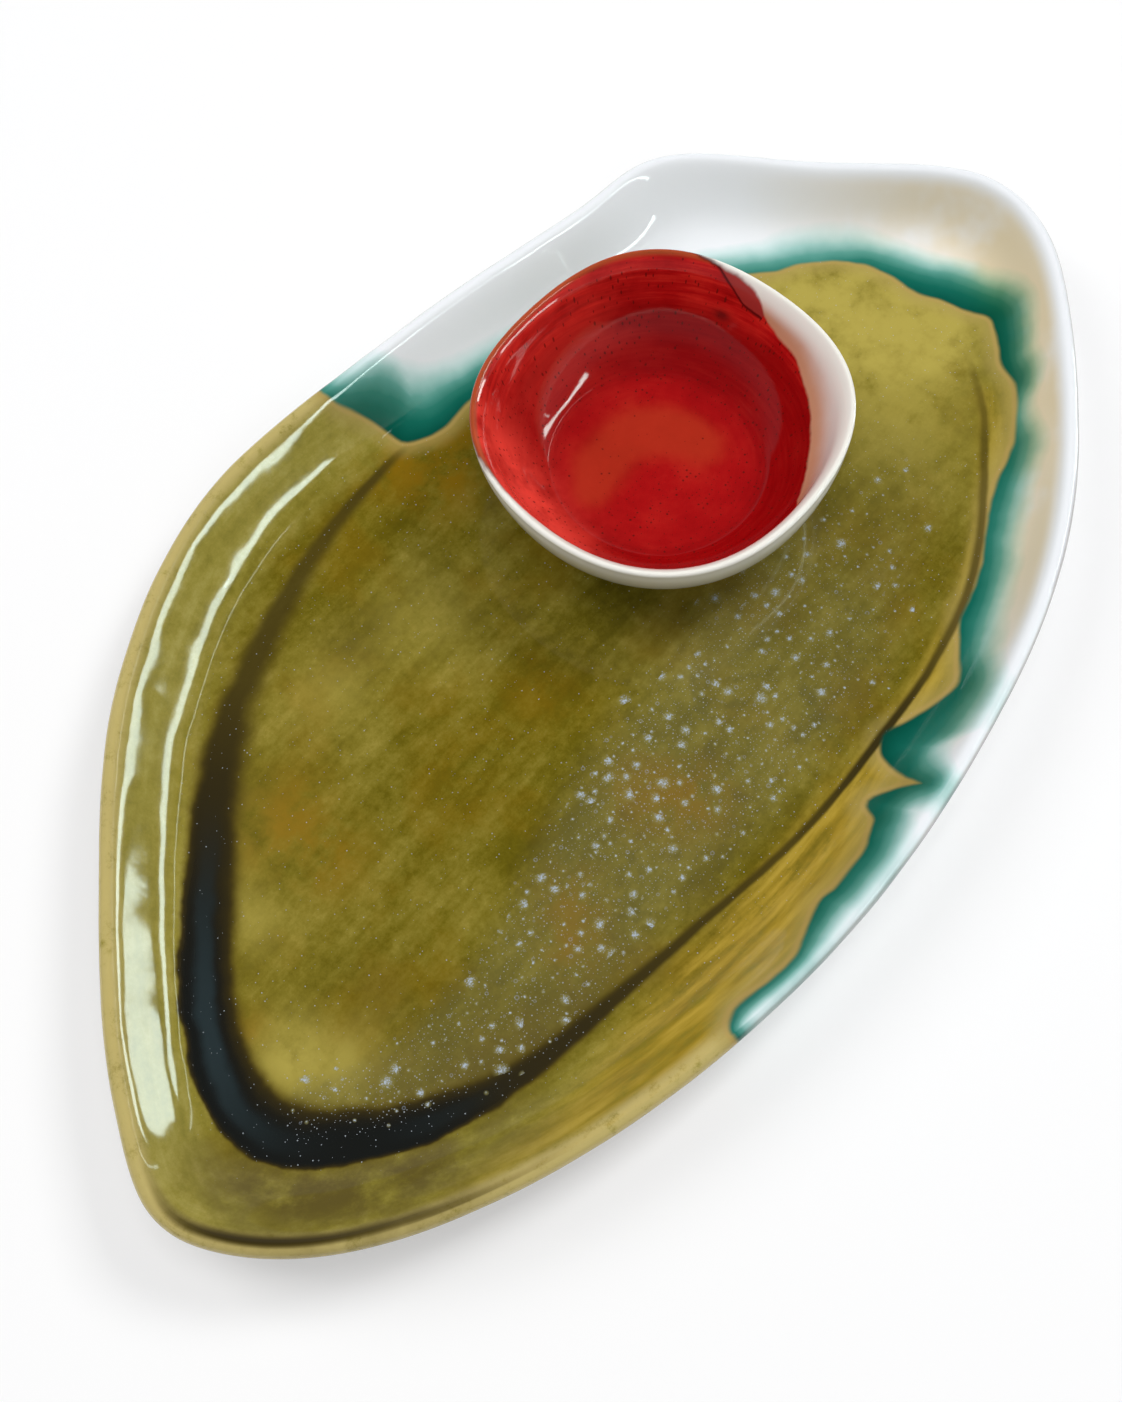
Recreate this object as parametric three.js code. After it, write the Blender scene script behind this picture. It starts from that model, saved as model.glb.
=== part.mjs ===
// Chip and dip platter in two fired, glazed stoneware pieces: a long hand-built platter with a
// raised rim, and a small thrown dip bowl that stands loose on the platter's floor.
// Millimetres. +Z is up, +X runs along the platter towards the end where the bowl stands, and the
// origin is on the table under the middle of the platter's outline.

import * as THREE from "three";

// Platter sizes
const PLATTER_LENGTH = 440;
const PLATTER_WIDTH = 247;
const PLATTER_HEIGHT = 27;
const PLATTER_CLAY = 6;
const RIM_WIDTH = 30;
const COVE_LENGTH = 9;
const GUTTER_WIDTH = 22;
const GUTTER_DEPTH = 0.8;
const PLATTER_FOOT_HEIGHT = 3;
const PLATTER_FOOT_WIDTH = 9;
const PLATTER_FOOT_SETBACK = 5;

// Bowl sizes
const BOWL_DIAMETER = 119;
const BOWL_HEIGHT = 40;
const BOWL_CLAY = 5;
const BOWL_LIP = 2.4;
const BOWL_LIP_BEVEL = 4;
const BOWL_FLOOR_DIAMETER = 71;
const BOWL_FOOT_HEIGHT = 2;
const BOWL_FOOT_WIDTH = 6;
const BOWL_FOOT_DIAMETER = 75;

// The bowl's rim is a little oval, and its four soft corners stand out and up from a plain circle
const BOWL_OVAL = 1.2;
const BOWL_CORNER_REACH = 1.5;
const BOWL_CORNER_RISE = 0.8;
const BOWL_CORNER_ANGLE = THREE.MathUtils.degToRad(44);
const BOWL_CORNERS = 4;

// Where the bowl stands: its middle, from the platter's end and across from the middle line
const BOWL_FROM_END = 163;
const BOWL_ACROSS = 21;
const SEAT_CLEARANCE = 0.3;

// Feet are cut with a slight slope on both sides
const FOOT_DRAFT = 0.8;

// Stations round the platter's rim, counter-clockwise: place along, place across, and how much
// wider than RIM_WIDTH the rim is there. The outline is stretched to the length and the width.
const RIM_STATIONS = [
  [219, 3, -3],
  [185, 53, -2],
  [150, 98, 1],
  [115, 104, -2],
  [41, 117, -2],
  [-52, 122, 4],
  [-115, 96, 3],
  [-167, 50, 0],
  [-207, 1, 0],
  [-220, -30, 6],
  [-200, -66, 3],
  [-140, -102, 1],
  [-47, -123, 4],
  [45, -119, -3],
  [109, -103, -4],
  [164, -72, -2],
  [213, -27, -3],
];

// How finely the round forms are stepped
const PLATTER_STEPS = 128;
const BOWL_STEPS = 64;
const BOWL_WALL_STEPS = 6;
const COVE_STEPS = 3;
const LIP_STEPS = 4;
const OUTLINE_STEPS = 680;

// The platter's slope and its floor each have one more ring of points, this share of the way across
const MIDDLE_RING = 0.5;

// The bowl's wall leaves the floor at a slant and swells before it stands up to the lip: the corner
// of that curve, as shares of the wall's level run and of its rise
const BOWL_SWELL_OUT = 0.66;
const BOWL_SWELL_UP = 0.33;

const PLATTER_FLOOR_TOP = PLATTER_FOOT_HEIGHT + PLATTER_CLAY;
const BOWL_FLOOR_TOP = BOWL_FOOT_HEIGHT + BOWL_CLAY;

// Builds one closed body from rings of points that run from the middle of the top, over the lip,
// to the middle of the underside
function bodyThroughRings(topMiddle, rings, underMiddle) {
  const steps = rings[0].length;
  const points = [topMiddle, ...rings.flat(), underMiddle];
  const underIndex = points.length - 1;
  const faces = [];
  const at = (ring, step) => 1 + ring * steps + (step % steps);
  for (let step = 0; step < steps; step += 1) {
    faces.push(0, at(0, step), at(0, step + 1));
    for (let ring = 0; ring + 1 < rings.length; ring += 1) {
      faces.push(at(ring, step), at(ring + 1, step), at(ring + 1, step + 1));
      faces.push(at(ring, step), at(ring + 1, step + 1), at(ring, step + 1));
    }
    faces.push(underIndex, at(rings.length - 1, step + 1), at(rings.length - 1, step));
  }
  const geometry = new THREE.BufferGeometry().setFromPoints(points);
  geometry.setIndex(faces);
  geometry.computeVertexNormals();
  return geometry;
}

// Sections are drawn as points of x, the level distance in from the outer edge, and y, the height.
// A lip is a round bead, and this gives its points from the inner wall, which comes up to it from
// the point called corner, over the crest to the outer wall
function lipBead(corner, height, thickness) {
  const radius = thickness / 2;
  const middle = new THREE.Vector2(radius, height - radius);
  const toCorner = corner.clone().sub(middle);
  const start = toCorner.angle() + Math.acos(radius / toCorner.length());
  const bead = [];
  for (let step = 0; step <= LIP_STEPS; step += 1) {
    const angle = start + (Math.PI * step) / LIP_STEPS;
    const spoke = new THREE.Vector2(Math.cos(angle), Math.sin(angle));
    bead.push(middle.clone().addScaledVector(spoke, radius));
  }
  return bead;
}

// Points of a curved cove that leaves the wall before a corner and ends on the level after it
function cove(wallTop, corner, length) {
  const wall = wallTop.clone().sub(corner);
  const reach = Math.min(length, wall.length());
  const start = corner.clone().add(wall.setLength(reach));
  const end = new THREE.Vector2(corner.x + length, corner.y);
  return new THREE.QuadraticBezierCurve(start, corner, end).getPoints(COVE_STEPS);
}

// A foot ring's section, from the outside of its top to the inside
function footSection(outerEdge, width, height) {
  return [
    new THREE.Vector2(outerEdge, height),
    new THREE.Vector2(outerEdge + FOOT_DRAFT, 0),
    new THREE.Vector2(outerEdge + FOOT_DRAFT + width, 0),
    new THREE.Vector2(outerEdge + 2 * FOOT_DRAFT + width, height),
  ];
}

// The platter's section where its rim is as wide as run: floor, gutter, cove, sloping rim, lip,
// outer wall, foot
function platterSection(run) {
  const gutterHeight = PLATTER_FLOOR_TOP - GUTTER_DEPTH;
  const innerCorner = new THREE.Vector2(run - COVE_LENGTH, gutterHeight);
  const bead = lipBead(innerCorner, PLATTER_HEIGHT, PLATTER_CLAY);
  const lipInside = bead[0];
  const lipOutside = bead[LIP_STEPS];
  const innerCove = cove(lipInside, innerCorner, COVE_LENGTH);

  const slope = innerCorner.clone().sub(lipInside);
  const drop = (lipOutside.y - PLATTER_FOOT_HEIGHT) / -slope.y;
  const outerCorner = lipOutside.clone().addScaledVector(slope, drop);
  const outerCove = cove(lipOutside, outerCorner, COVE_LENGTH);

  return [
    new THREE.Vector2(run + GUTTER_WIDTH / 2, PLATTER_FLOOR_TOP),
    ...innerCove.toReversed(),
    innerCove[0].clone().lerp(lipInside, MIDDLE_RING),
    ...bead,
    ...outerCove,
    ...footSection(run + PLATTER_FOOT_SETBACK, PLATTER_FOOT_WIDTH, PLATTER_FOOT_HEIGHT),
  ];
}

function closedCurve(points) {
  return new THREE.CatmullRomCurve3(points, true, "centripetal");
}

function makePlatter() {
  // The rim's outline, stretched to size
  const drawn = RIM_STATIONS.map(([along, across]) => new THREE.Vector3(along, across, 0));
  const box = new THREE.Box3().setFromPoints(closedCurve(drawn).getPoints(OUTLINE_STEPS));
  const middle = box.getCenter(new THREE.Vector3());
  const drawnSize = box.getSize(new THREE.Vector3());
  const stretch = new THREE.Vector3(PLATTER_LENGTH / drawnSize.x, PLATTER_WIDTH / drawnSize.y, 1);
  const rimPoints = drawn.map((point) => point.sub(middle).multiply(stretch));
  const rim = closedCurve(rimPoints);

  // The gutter line lies square in from each station by the rim's width there
  const gutterPoints = rimPoints.map((point, station) => {
    const tangent = rim.getTangent(station / RIM_STATIONS.length);
    const inward = new THREE.Vector3(-tangent.y, tangent.x, 0);
    const width = RIM_WIDTH + RIM_STATIONS[station][2];
    return point.clone().addScaledVector(inward, width);
  });
  const gutter = closedCurve(gutterPoints);

  // One section at each step round the rim. Inside the gutter it heads for the platter's middle line
  const middleLine = (PLATTER_LENGTH - PLATTER_WIDTH) / 2;
  const columns = [];
  for (let step = 0; step < PLATTER_STEPS; step += 1) {
    const place = rim.getUtoTmapping(step / PLATTER_STEPS);
    const edgePoint = rim.getPoint(place);
    const gutterPoint = gutter.getPoint(place);
    const run = edgePoint.distanceTo(gutterPoint);
    const nearest = THREE.MathUtils.clamp(gutterPoint.x, -middleLine, middleLine);
    const inward = new THREE.Vector3(nearest, 0, 0).sub(gutterPoint).normalize();
    const column = platterSection(run).map(({ x, y }) => {
      const point = edgePoint.clone().lerp(gutterPoint, Math.min(x / run, 1));
      point.addScaledVector(inward, Math.max(x - run, 0));
      return point.setZ(y);
    });
    columns.push(column);
  }
  const rings = columns[0].map((point, ring) => columns.map((column) => column[ring]));
  const topMiddle = new THREE.Vector3(0, 0, PLATTER_FLOOR_TOP);
  const underMiddle = new THREE.Vector3(0, 0, PLATTER_FOOT_HEIGHT);
  const floorRing = rings[0].map((point) => point.clone().lerp(topMiddle, MIDDLE_RING));
  const geometry = bodyThroughRings(topMiddle, [floorRing, ...rings], underMiddle);

  const glaze = new THREE.MeshStandardMaterial({ color: 0x6f6a1e, roughness: 0.15, metalness: 0 });
  const mesh = new THREE.Mesh(geometry, glaze);
  mesh.name = "platter";
  return mesh;
}

// The bowl's section before its rim is pulled out of round: floor, wall, lip, outer wall, foot. The
// lip is thinner than the wall, which is bevelled towards it on the inside from the point called neck
function bowlSection() {
  const radius = BOWL_DIAMETER / 2;
  const floorEdge = new THREE.Vector2(radius - BOWL_FLOOR_DIAMETER / 2, BOWL_FLOOR_TOP);
  const swell = new THREE.Vector2(
    THREE.MathUtils.lerp(floorEdge.x, 0, BOWL_SWELL_OUT),
    THREE.MathUtils.lerp(BOWL_FLOOR_TOP, BOWL_HEIGHT, BOWL_SWELL_UP),
  );
  const neck = new THREE.Vector2(BOWL_CLAY, BOWL_HEIGHT - BOWL_LIP_BEVEL);
  const bead = lipBead(neck, BOWL_HEIGHT, BOWL_LIP);
  const wall = new THREE.QuadraticBezierCurve(floorEdge, swell, neck);
  const inner = [];
  const outer = [];
  for (let step = 0; step <= BOWL_WALL_STEPS; step += 1) {
    const place = step / BOWL_WALL_STEPS;
    const tangent = wall.getTangent(place);
    const outward = new THREE.Vector2(-tangent.y, tangent.x);
    const point = wall.getPoint(place);
    inner.push(point);
    outer.unshift(point.clone().addScaledVector(outward, BOWL_CLAY));
  }
  const foot = footSection(radius - BOWL_FOOT_DIAMETER / 2, BOWL_FOOT_WIDTH, BOWL_FOOT_HEIGHT);
  return [...inner, ...bead, ...outer, ...foot];
}

function makeBowl() {
  const section = bowlSection();
  const radius = BOWL_DIAMETER / 2;
  const rings = section.map(({ x, y }) => {
    const share = (y / BOWL_HEIGHT) ** 2;
    const ring = [];
    for (let step = 0; step < BOWL_STEPS; step += 1) {
      const angle = (2 * Math.PI * step) / BOWL_STEPS;
      const corner = Math.cos(BOWL_CORNERS * (angle - BOWL_CORNER_ANGLE));
      const pull = BOWL_OVAL * Math.cos(2 * angle) + BOWL_CORNER_REACH * corner;
      const reach = radius - x + share * pull;
      const height = y + share * BOWL_CORNER_RISE * corner;
      ring.push(new THREE.Vector3(reach * Math.cos(angle), reach * Math.sin(angle), height));
    }
    return ring;
  });
  const topMiddle = new THREE.Vector3(0, 0, BOWL_FLOOR_TOP);
  const underMiddle = new THREE.Vector3(0, 0, BOWL_FOOT_HEIGHT);
  const geometry = bodyThroughRings(topMiddle, rings, underMiddle);

  const glaze = new THREE.MeshStandardMaterial({ color: 0xa3161a, roughness: 0.12, metalness: 0 });
  const mesh = new THREE.Mesh(geometry, glaze);
  mesh.name = "dip_bowl";
  mesh.position.set(
    PLATTER_LENGTH / 2 - BOWL_FROM_END,
    BOWL_ACROSS,
    PLATTER_FLOOR_TOP + SEAT_CLEARANCE,
  );
  return mesh;
}

const chipAndDipPlatter = new THREE.Group();
chipAndDipPlatter.add(makePlatter(), makeBowl());

export default chipAndDipPlatter;
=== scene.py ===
import math

import bmesh
import bpy
import numpy as np
from mathutils import Matrix, Vector


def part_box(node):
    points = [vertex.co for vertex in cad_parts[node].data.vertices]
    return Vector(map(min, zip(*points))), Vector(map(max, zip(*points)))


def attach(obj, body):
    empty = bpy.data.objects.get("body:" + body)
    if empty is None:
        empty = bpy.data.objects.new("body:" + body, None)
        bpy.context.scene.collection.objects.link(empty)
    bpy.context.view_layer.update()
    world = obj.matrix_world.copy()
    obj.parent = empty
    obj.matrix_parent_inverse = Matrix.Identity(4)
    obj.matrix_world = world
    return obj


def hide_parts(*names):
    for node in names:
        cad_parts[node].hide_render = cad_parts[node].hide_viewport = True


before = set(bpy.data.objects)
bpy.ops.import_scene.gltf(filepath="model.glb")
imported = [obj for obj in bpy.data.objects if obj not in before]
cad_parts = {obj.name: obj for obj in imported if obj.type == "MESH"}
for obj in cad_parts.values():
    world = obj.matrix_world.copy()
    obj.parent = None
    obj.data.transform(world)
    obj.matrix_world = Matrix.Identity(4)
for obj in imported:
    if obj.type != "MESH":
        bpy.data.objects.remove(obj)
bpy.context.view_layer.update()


# Platter: one hand-built slab of white stoneware with a raised, sloping rim, a gutter and a low
# foot ring. It is glazed white all over, and a thick olive glaze is poured over most of it: the
# olive runs into the gutter, turns black where it pools, and bleeds turquoise where it ends.

MERGE_REACH = 0.00001
FLAT_ANGLE = math.radians(1)
FOOT_EDGE_ANGLE = math.radians(45)
FOOT_REACH = 0.0002
FOOT_CREASE = 0.9
ROUNDING_LEVELS = 2
PLATTER_FLOOR_ROWS = 21


def rounded_copy(node_name, piece_name, floor_rows):
    """A CAD solid's copy as one smooth skin, with even faces where fans of long triangles were."""
    piece = bpy.data.objects.new(piece_name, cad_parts[node_name].data.copy())
    bpy.context.scene.collection.objects.link(piece)
    piece.data.materials.clear()
    bpy.ops.object.select_all(action="DESELECT")
    piece.select_set(True)
    bpy.context.view_layer.objects.active = piece
    bpy.ops.mesh.customdata_custom_splitnormals_clear()
    bpy.ops.object.mode_set(mode="EDIT")
    bpy.ops.mesh.select_mode(type="EDGE")
    bpy.ops.mesh.select_all(action="SELECT")
    bpy.ops.mesh.remove_doubles(threshold=MERGE_REACH)
    for _ in ("floor", "underside"):
        skin = bmesh.from_edit_mesh(piece.data)
        hub = max(skin.verts, key=lambda corner: len(corner.link_faces))
        bpy.ops.mesh.select_all(action="DESELECT")
        for face in hub.link_faces:
            face.select_set(True)
        bmesh.update_edit_mesh(piece.data)
        bpy.ops.mesh.faces_select_linked_flat(sharpness=FLAT_ANGLE)
        bpy.ops.mesh.delete(type="FACE")
        bpy.ops.mesh.select_non_manifold(extend=False, use_wire=False, use_verts=False)
        bpy.ops.mesh.fill_grid(span=floor_rows)
    bpy.ops.mesh.select_all(action="SELECT")
    bpy.ops.mesh.tris_convert_to_quads(face_threshold=math.pi, shape_threshold=math.pi)
    bpy.ops.mesh.normals_make_consistent(inside=False)

    # The foot ring keeps its edges, so that it still stands where the solid does
    skin = bmesh.from_edit_mesh(piece.data)
    foot_level = min(corner.co.z for corner in skin.verts) + FOOT_REACH
    bpy.ops.mesh.select_all(action="DESELECT")
    for edge in skin.edges:
        low = all(corner.co.z < foot_level for corner in edge.verts)
        edge.select_set(low and edge.calc_face_angle() > FOOT_EDGE_ANGLE)
    bmesh.update_edit_mesh(piece.data)
    bpy.ops.transform.edge_crease(value=FOOT_CREASE)
    bpy.ops.object.mode_set(mode="OBJECT")
    rounding = piece.modifiers.new("rounding", "SUBSURF")
    rounding.levels = ROUNDING_LEVELS
    rounding.render_levels = ROUNDING_LEVELS
    bpy.ops.object.modifier_apply(modifier=rounding.name)
    bpy.ops.object.shade_smooth()
    return piece


def read_corners(piece, what):
    """The places or the normals of a piece's corners, one row each."""
    rows = np.empty(len(piece.data.vertices) * 3)
    piece.data.vertices.foreach_get(what, rows)
    return rows.reshape(-1, 3)


def ease(values, start, end):
    """0 before start, 1 after end, and a smooth rise between."""
    share = np.clip((values - start) / (end - start), 0, 1)
    return share * share * (3 - 2 * share)


def line_through(stations, steps):
    """A smooth line through listed stations, which blends what each station carries."""
    rows = np.array(stations, float)
    padded = np.vstack([2 * rows[0] - rows[1], rows, 2 * rows[-1] - rows[-2]])
    before, start, end, after = padded[:-3], padded[1:-2], padded[2:-1], padded[3:]
    share = np.linspace(0, 1, steps, endpoint=False)[:, None, None]
    bend = (2 * before - 5 * start + 4 * end - after) * share
    twist = (3 * start - before - 3 * end + after) * share * share
    spans = start + share * (end - before + bend + twist) / 2
    return np.vstack([spans.transpose(1, 0, 2).reshape(-1, rows.shape[1]), rows[-1:]])


BLEND_REACH = 0.0025


def nearest_on_line(places, line):
    """How far each place is from a line in plan, and what the line carries about there."""
    best = np.full(len(places), np.inf)
    for start, end in zip(line[:-1, :2], line[1:, :2]):
        along = end - start
        share = np.clip((places[:, :2] - start) @ along / (along @ along), 0, 1)
        gap = places[:, :2] - start - share[:, None] * along
        best = np.minimum(best, np.hypot(gap[:, 0], gap[:, 1]))
    total = np.zeros(len(places))
    carried = np.zeros((len(places), line.shape[1] - 2))
    for point in line:
        gap = np.hypot(places[:, 0] - point[0], places[:, 1] - point[1])
        weight = np.exp((best - gap) / BLEND_REACH)
        total += weight
        carried += weight[:, None] * point[2:]
    return best, carried / total[:, None]


def inside_outline(places, outline):
    """Which places lie inside a closed outline in plan."""
    inside = np.zeros(len(places), bool)
    for start, end in zip(outline, np.roll(outline, -1, axis=0)):
        rise = end[1] - start[1]
        if rise == 0:
            continue
        crosses = (places[:, 1] > start[1]) != (places[:, 1] > end[1])
        reach = start[0] + (places[:, 1] - start[1]) / rise * (end[0] - start[0])
        inside ^= crosses & (places[:, 0] < reach)
    return inside


def spots_at(places, spots):
    """How strong a set of soft round spots is at each place: along, across, size, strength."""
    total = np.zeros(len(places))
    for along, across, size, strength in spots:
        distance = np.hypot(places[:, 0] - along, places[:, 1] - across)
        total += strength * np.exp(-((distance / size) ** 2))
    return np.clip(total, 0, 1)


def write_marks(piece, name, *columns):
    """Keeps up to three values per corner as a named mark that the glaze reads."""
    rows = np.zeros((len(piece.data.vertices), 3), np.float32)
    for column, values in enumerate(columns):
        rows[:, column] = values
    mark = piece.data.attributes.new(name, "FLOAT_VECTOR", "POINT")
    mark.data.foreach_set("vector", rows.ravel())


# Where the olive glaze ends, from the lip on one side to the lip on the other: place along, place
# across, how far the turquoise bleeds beyond, and how strong it is (below zero where it is palest)
OLIVE_END = [
    (0.000, 0.128, 0.0110, -0.10),
    (0.001, 0.119, 0.0130, 0.10),
    (0.004, 0.112, 0.0155, 0.50),
    (0.009, 0.105, 0.0195, 1.00),
    (0.011, 0.098, 0.0212, 1.25),
    (0.012, 0.094, 0.0202, 1.25),
    (0.016, 0.091, 0.0166, 1.20),
    (0.024, 0.088, 0.0147, 1.10),
    (0.040, 0.088, 0.0140, 0.90),
    (0.060, 0.085, 0.0130, 0.70),
    (0.082, 0.081, 0.0130, 0.60),
    (0.104, 0.073, 0.0140, 0.50),
    (0.122, 0.064, 0.0150, 0.40),
    (0.137, 0.052, 0.0180, 0.30),
    (0.148, 0.042, 0.0200, 0.20),
    (0.158, 0.036, 0.0220, 0.15),
    (0.167, 0.027, 0.0220, 0.15),
    (0.172, 0.019, 0.017, 0.40),
    (0.174, 0.009, 0.0165, 0.65),
    (0.174, -0.002, 0.017, 0.95),
    (0.177, -0.013, 0.018, 1.10),
    (0.180, -0.023, 0.0155, 1.15),
    (0.181, -0.029, 0.012, 1.10),
    (0.174, -0.037, 0.009, 1.10),
    (0.167, -0.043, 0.0095, 1.05),
    (0.162, -0.051, 0.009, 0.70),
    (0.155, -0.057, 0.009, -0.10),
    (0.145, -0.063, 0.011, 0.30),
    (0.136, -0.066, 0.013, 0.55),
    (0.125, -0.069, 0.0135, 0.55),
    (0.114, -0.074, 0.0135, 0.50),
    (0.100, -0.081, 0.013, 0.55),
    (0.089, -0.085, 0.0135, 0.60),
    (0.078, -0.088, 0.0145, 0.70),
    (0.068, -0.094, 0.012, 0.55),
    (0.057, -0.100, 0.0125, 0.65),
    (0.049, -0.099, 0.0155, 1.00),
    (0.037, -0.095, 0.019, 1.20),
    (0.029, -0.092, 0.024, 1.30),
    (0.023, -0.095, 0.0225, 1.30),
    (0.021, -0.100, 0.0185, 1.15),
    (0.019, -0.106, 0.013, 0.85),
    (0.018, -0.112, 0.0085, 0.55),
    (0.015, -0.107, 0.013, 0.85),
    (0.009, -0.102, 0.0155, 1.15),
    (0.005, -0.102, 0.0155, 1.15),
    (0.002, -0.106, 0.0125, 0.75),
    (-0.002, -0.108, 0.0125, 0.60),
    (-0.012, -0.111, 0.012, 0.55),
    (-0.024, -0.111, 0.012, 0.60),
    (-0.031, -0.110, 0.012, 0.65),
    (-0.040, -0.112, 0.010, 0.60),
    (-0.048, -0.114, 0.0075, 0.50),
    (-0.057, -0.114, 0.007, 0.45),
    (-0.066, -0.112, 0.007, 0.45),
    (-0.073, -0.111, 0.007, 0.50),
    (-0.079, -0.113, 0.006, 0.50),
    (-0.081, -0.117, 0.006, 0.50),
    (-0.083, -0.128, 0.006, 0.50),
]
# The olive side is closed round the far end of the platter, clear of its outline
BEYOND_THE_TIP = [(-0.30, -0.20), (-0.30, 0.20)]

# The pool of thick glaze along the gutter: along, across, half its width, how deep it is, and how
# strong the painted bluish sheen is along its heart
POOL = [
    (0.024, 0.088, 0.0020, 0.00, 0.0),
    (0.014, 0.091, 0.0020, 0.00, 0.0),
    (0.004, 0.092, 0.0024, 0.34, 0.0),
    (-0.029, 0.089, 0.0042, 0.34, 0.0),
    (-0.057, 0.082, 0.0062, 0.36, 0.0),
    (-0.092, 0.069, 0.0085, 0.40, 0.0),
    (-0.120, 0.051, 0.0092, 0.54, 0.0),
    (-0.137, 0.037, 0.0088, 0.72, 0.3),
    (-0.162, 0.014, 0.0092, 0.95, 0.9),
    (-0.176, -0.005, 0.0095, 1.00, 1.0),
    (-0.182, -0.022, 0.0100, 1.00, 0.6),
    (-0.178, -0.038, 0.0100, 1.00, 0.1),
    (-0.163, -0.054, 0.0085, 1.00, 0.0),
    (-0.148, -0.064, 0.0070, 0.95, 0.2),
    (-0.127, -0.073, 0.0050, 0.62, 0.0),
    (-0.094, -0.080, 0.0036, 0.48, 0.0),
    (-0.056, -0.086, 0.0022, 0.40, 0.0),
    (-0.014, -0.092, 0.0018, 0.38, 0.0),
    (0.027, -0.092, 0.0018, 0.46, 0.0),
    (0.064, -0.089, 0.0020, 0.36, 0.0),
    (0.099, -0.079, 0.0022, 0.33, 0.0),
    (0.142, -0.053, 0.0022, 0.29, 0.0),
    (0.158, -0.038, 0.0020, 0.20, 0.0),
    (0.167, -0.026, 0.0020, 0.00, 0.0),
    (0.171, -0.014, 0.0020, 0.00, 0.0),
]

# A fine dark line of glaze caught behind the lip at the tip: along, across, half width, depth
LIP_CATCH = [
    (-0.208, -0.009, 0.0010, 0.0),
    (-0.215, -0.028, 0.0018, 0.6),
    (-0.211, -0.043, 0.0018, 1.0),
    (-0.199, -0.060, 0.0018, 1.0),
    (-0.180, -0.076, 0.0018, 0.8),
    (-0.152, -0.093, 0.0018, 0.5),
    (-0.121, -0.104, 0.0010, 0.0),
]

# Iron-rich amber spots, thin pale spots and thick brown spots in the olive: along, across, size,
# strength. The large pale spots at the end beyond the bowl are also painted light, where that end is
# brighter
AMBER_SPOTS = [
    (-0.112, 0.012, 0.012, 0.8),
    (-0.119, 0.030, 0.012, 0.8),
    (-0.104, 0.034, 0.012, 0.6),
    (-0.035, -0.046, 0.013, 0.6),
    (-0.027, -0.060, 0.012, 0.9),
    (-0.086, -0.063, 0.008, 1.0),
    (-0.075, -0.052, 0.010, 0.8),
    (-0.165, -0.006, 0.006, 0.9),
    (-0.063, 0.003, 0.014, 0.35),
    (-0.029, -0.001, 0.016, 0.5),
    (0.009, 0.080, 0.018, 0.7),
    (0.024, 0.075, 0.020, 0.6),
    (-0.001, 0.098, 0.012, 0.6),
    (0.010, 0.103, 0.008, 0.7),
]
PALE_AND_LIT_SPOTS = [
    (-0.164, -0.021, 0.012, 0.9),
    (-0.153, -0.034, 0.010, 0.6),
    (-0.141, 0.017, 0.010, 0.4),
    (-0.071, 0.050, 0.014, 0.4),
    (-0.034, 0.045, 0.016, 0.4),
    (0.150, 0.005, 0.030, 1.0),
    (0.164, -0.016, 0.020, 1.0),
    (0.165, 0.020, 0.020, 1.0),
    (0.128, 0.048, 0.026, 0.8),
    (0.120, -0.034, 0.024, 0.5),
    (-0.150, 0.055, 0.040, 0.4),
]
BROWN_SPOTS = [
    (-0.197, -0.032, 0.014, 0.7),
    (-0.190, -0.051, 0.015, 0.9),
    (-0.174, -0.066, 0.015, 0.9),
    (-0.156, -0.076, 0.013, 0.8),
    (-0.135, -0.084, 0.010, 0.6),
    (-0.148, -0.055, 0.010, 0.5),
    (-0.132, -0.063, 0.010, 0.8),
    (-0.116, -0.068, 0.010, 0.8),
    (-0.098, -0.074, 0.009, 0.8),
    (-0.076, -0.079, 0.008, 0.7),
    (-0.050, -0.083, 0.008, 0.6),
    (0.029, -0.093, 0.004, 0.8),
    (-0.136, -0.031, 0.014, 0.3),
    (-0.054, 0.057, 0.012, 0.3),
]

# The slope along one side where the olive is thin and warm: along, across, half the width, how much
OCHRE = [
    (-0.165, -0.085, 0.006, 0.2),
    (-0.120, -0.100, 0.012, 0.8),
    (-0.070, -0.104, 0.016, 1.0),
    (-0.020, -0.104, 0.015, 1.0),
    (0.015, -0.102, 0.012, 1.0),
    (0.060, -0.094, 0.008, 0.7),
    (0.110, -0.076, 0.006, 0.4),
    (0.155, -0.050, 0.007, 0.4),
]

# The band of the well where crystals grew: along, across, half its width, how thickly they stand
CRYSTALS = [
    (0.105, -0.038, 0.026, 0.12),
    (0.074, -0.042, 0.034, 0.45),
    (0.034, -0.052, 0.038, 0.75),
    (0.000, -0.054, 0.036, 0.85),
    (-0.035, -0.054, 0.034, 0.95),
    (-0.065, -0.056, 0.028, 0.95),
    (-0.095, -0.060, 0.024, 0.80),
    (-0.128, -0.056, 0.018, 0.75),
    (-0.150, -0.050, 0.014, 0.80),
    (-0.170, -0.036, 0.010, 0.60),
]

# The slope where the white glaze is thin enough for the buff clay to warm it: along, across, half
# the width, how much
BUFF = [
    (0.160, 0.066, 0.010, 0.0),
    (0.185, 0.038, 0.014, 0.4),
    (0.202, 0.009, 0.015, 0.9),
    (0.204, -0.012, 0.015, 1.0),
    (0.190, -0.036, 0.014, 1.0),
    (0.172, -0.055, 0.013, 1.0),
    (0.150, -0.071, 0.012, 1.0),
    (0.124, -0.086, 0.011, 0.9),
    (0.096, -0.098, 0.010, 0.8),
    (0.070, -0.107, 0.009, 0.5),
    (0.040, -0.113, 0.008, 0.2),
]

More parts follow.
